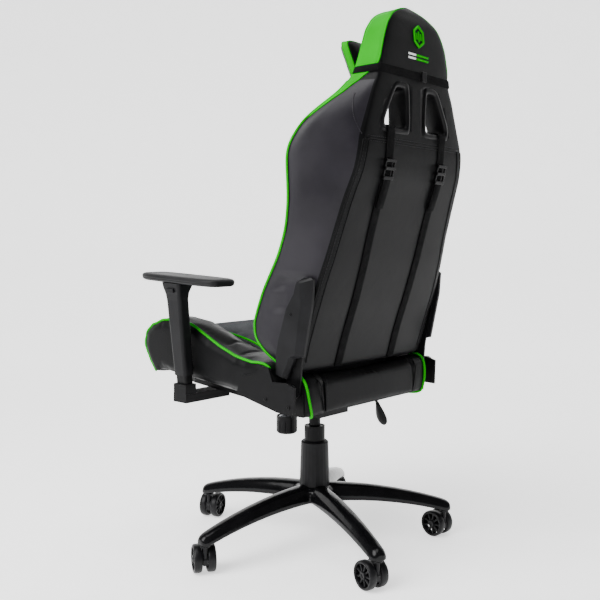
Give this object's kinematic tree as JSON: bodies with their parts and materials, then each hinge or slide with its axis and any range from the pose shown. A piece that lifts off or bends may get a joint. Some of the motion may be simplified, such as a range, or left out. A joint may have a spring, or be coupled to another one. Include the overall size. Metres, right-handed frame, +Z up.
{
  "type": "gaming chair",
  "caption": "High-backed bucket gaming chair that swivels, rocks, reclines and adjusts in height, on a star base with twin-wheel casters.",
  "frame": {"origin": "centre of the chair's footprint box, on the floor", "axes": "+Z up, the sitter faces -Y, the sitter's left is +X"},
  "size_m": [0.676, 0.672, 1.23],
  "materials": {
    "gloss_base": "high gloss black, smooth",
    "caster_plastic": "semi-gloss black moulding with a polyurethane tread",
    "satin_plastic": "satin black moulding, fine spark texture",
    "black_steel": "black powder coat",
    "bright_steel": "plain zinc-plated steel",
    "chrome_rod": "ground and hard-chromed",
    "black_leather": "black coated leatherette, fine grain, satin sheen",
    "green_leather": "bright green coated leatherette piping and panels",
    "grey_fabric": "grey perforated seat cloth",
    "webbing": "black woven webbing",
    "arm_pad": "soft black polyurethane, light pebble grain"
  },
  "bodies": {
    "base": {"star_base": "gloss_base", "stand_tube": "black_steel", "guide_bushing": "satin_plastic", "dust_cover": "satin_plastic", "thrust_bearing": "bright_steel"},
    "caster_1": {"caster_fork_1": "caster_plastic"},
    "caster_wheels_1": {"caster_wheel_1a": "caster_plastic", "caster_wheel_1b": "caster_plastic"},
    "caster_2": {"caster_fork_2": "caster_plastic"},
    "caster_wheels_2": {"caster_wheel_2a": "caster_plastic", "caster_wheel_2b": "caster_plastic"},
    "caster_3": {"caster_fork_3": "caster_plastic"},
    "caster_wheels_3": {"caster_wheel_3a": "caster_plastic", "caster_wheel_3b": "caster_plastic"},
    "caster_4": {"caster_fork_4": "caster_plastic"},
    "caster_wheels_4": {"caster_wheel_4a": "caster_plastic", "caster_wheel_4b": "caster_plastic"},
    "caster_5": {"caster_fork_5": "caster_plastic"},
    "caster_wheels_5": {"caster_wheel_5a": "caster_plastic", "caster_wheel_5b": "caster_plastic"},
    "gas_rod": {"piston_rod": "chrome_rod"},
    "lift": {"pressure_cylinder": "black_steel", "mechanism_housing": "black_steel", "tilt_pin": "bright_steel", "tension_spring": "bright_steel"},
    "release": {"release_pin": "bright_steel"},
    "tilt_lock": {"tilt_lock_slide": "bright_steel"},
    "lever": {"height_lever": "satin_plastic"},
    "seat": {"tilt_plate": "black_steel", "seat_frame": "black_steel", "seat_insert": "grey_fabric", "seat_rear_roll": "black_leather", "seat_bolster_left": "black_leather", "seat_bolster_right": "black_leather", "side_shield_left": "satin_plastic", "side_shield_right": "satin_plastic", "armrest_bracket_left": "black_steel", "armrest_bracket_right": "black_steel"},
    "knob": {"tension_knob": "satin_plastic"},
    "recline_handle": {"recline_lever": "satin_plastic"},
    "backrest": {"recliner_shaft": "bright_steel", "back_frame": "black_steel", "back_panel": "black_leather", "back_head": "black_leather", "back_wing_left": "black_leather", "back_wing_right": "black_leather", "belt_bezel_left": "satin_plastic", "belt_bezel_right": "satin_plastic", "cushion_strap_left": "webbing", "cushion_strap_right": "webbing", "head_pillow": "green_leather", "lumbar_pillow": "black_leather", "arm_cover_left": "satin_plastic", "arm_cover_right": "satin_plastic"},
    "armrest_left": {"armrest_sleeve_left": "satin_plastic"},
    "arm_button_left": {"armrest_button_left": "satin_plastic"},
    "arm_pad_left": {"armrest_pad_left": "arm_pad"},
    "armrest_right": {"armrest_sleeve_right": "satin_plastic"},
    "arm_button_right": {"armrest_button_right": "satin_plastic"},
    "arm_pad_right": {"armrest_pad_right": "arm_pad"}
  },
  "joints": [
    {"name": "caster_swivel_1", "type": "hinge", "parent": "base", "child": "caster_1", "pos_m": [0.05271, -0.29622, 0.0675], "axis": [0, 0, 1], "continuous": true},
    {"name": "caster_roll_1", "type": "hinge", "parent": "caster_1", "child": "caster_wheels_1", "pos_m": [0.03204, -0.30374, 0.032], "axis": [0.342, -0.9397, 0], "continuous": true},
    {"name": "caster_swivel_2", "type": "hinge", "parent": "base", "child": "caster_2", "pos_m": [0.31433, -0.01859, 0.0675], "axis": [0, 0, 1], "continuous": true},
    {"name": "caster_roll_2", "type": "hinge", "parent": "caster_2", "child": "caster_wheels_2", "pos_m": [0.30242, -0.03708, 0.032], "axis": [0.8406, -0.5417, 0], "continuous": true},
    {"name": "caster_swivel_3", "type": "hinge", "parent": "base", "child": "caster_3", "pos_m": [0.13114, 0.31602, 0.0675], "axis": [0, 0, 1], "continuous": true},
    {"name": "caster_roll_3", "type": "hinge", "parent": "caster_3", "child": "caster_wheels_3", "pos_m": [0.12534, 0.2948, 0.032], "axis": [0.9646, -0.2639, 0], "continuous": true},
    {"name": "caster_swivel_4", "type": "hinge", "parent": "base", "child": "caster_4", "pos_m": [-0.2437, 0.24519, 0.0675], "axis": [0, 0, 1], "continuous": true},
    {"name": "caster_roll_4", "type": "hinge", "parent": "caster_4", "child": "caster_wheels_4", "pos_m": [-0.24611, 0.22332, 0.032], "axis": [0.994, -0.1097, 0], "continuous": true},
    {"name": "caster_swivel_5", "type": "hinge", "parent": "base", "child": "caster_5", "pos_m": [-0.29217, -0.13319, 0.0675], "axis": [0, 0, 1], "continuous": true},
    {"name": "caster_roll_5", "type": "hinge", "parent": "caster_5", "child": "caster_wheels_5", "pos_m": [-0.30317, -0.15224, 0.032], "axis": [0.866, -0.5, 0], "continuous": true},
    {"name": "seat_swivel", "type": "hinge", "parent": "base", "child": "gas_rod", "pos_m": [-0.00754, 0.02264, 0.12], "axis": [0, 0, 1], "continuous": true},
    {"name": "seat_lift", "type": "slide", "parent": "gas_rod", "child": "lift", "axis": [0, 0, 1], "range_m": [0, 0.08]},
    {"name": "release_push", "type": "slide", "parent": "lift", "child": "release", "axis": [0, 0, -1], "range_m": [0, 0.006]},
    {"name": "tilt_lock_pull", "type": "slide", "parent": "lift", "child": "tilt_lock", "axis": [-1, 0, 0], "range_m": [0, 0.006]},
    {"name": "height_lever_lift", "type": "hinge", "parent": "tilt_lock", "child": "lever", "pos_m": [-0.03354, 0.02864, 0.356], "axis": [0, 1, 0], "range_deg": [0, 10], "stiffness_Nm_per_rad": 3, "springref_deg": -8.59},
    {"name": "seat_rock", "type": "hinge", "parent": "lift", "child": "seat", "pos_m": [-0.00754, -0.00136, 0.352], "axis": [-1, 0, 0], "range_deg": [0, 12], "stiffness_Nm_per_rad": 150, "springref_deg": -22.92, "deforming": ["tension_spring"]},
    {"name": "tension_turn", "type": "hinge", "parent": "seat", "child": "knob", "pos_m": [-0.00754, -0.06936, 0.276], "axis": [0, 0, 1], "continuous": true},
    {"name": "recline_release", "type": "hinge", "parent": "seat", "child": "recline_handle", "pos_m": [-0.28254, 0.16264, 0.425], "axis": [-1, 0, 0], "range_deg": [0, 30], "stiffness_Nm_per_rad": 4, "springref_deg": -8.59},
    {"name": "back_recline", "type": "hinge", "parent": "seat", "child": "backrest", "pos_m": [-0.00754, 0.16264, 0.425], "axis": [-1, 0, 0], "range_deg": [0, 55]},
    {"name": "armrest_height_left", "type": "slide", "parent": "seat", "child": "armrest_left", "axis": [0.0978, 0, 0.9952], "range_m": [-0.01, 0.06]},
    {"name": "armrest_button_press_left", "type": "slide", "parent": "armrest_left", "child": "arm_button_left", "axis": [-0.9952, 0, 0.0978], "range_m": [0, 0.004], "stiffness_N_per_m": 500, "springref_m": -0.002},
    {"name": "armrest_pad_slide_left", "type": "slide", "parent": "armrest_left", "child": "arm_pad_left", "axis": [0, -0.999, 0.0449], "range_m": [-0.025, 0.025]},
    {"name": "armrest_height_right", "type": "slide", "parent": "seat", "child": "armrest_right", "axis": [-0.0978, 0, 0.9952], "range_m": [-0.01, 0.06]},
    {"name": "armrest_button_press_right", "type": "slide", "parent": "armrest_right", "child": "arm_button_right", "axis": [0.9952, 0, 0.0978], "range_m": [0, 0.004], "stiffness_N_per_m": 500, "springref_m": -0.002},
    {"name": "armrest_pad_slide_right", "type": "slide", "parent": "armrest_right", "child": "arm_pad_right", "axis": [0, -0.999, 0.0449], "range_m": [-0.025, 0.025]}
  ],
  "couplings": [
    {"joint": "release_push", "follows": "height_lever_lift", "m_per_rad": 0.034}
  ]
}
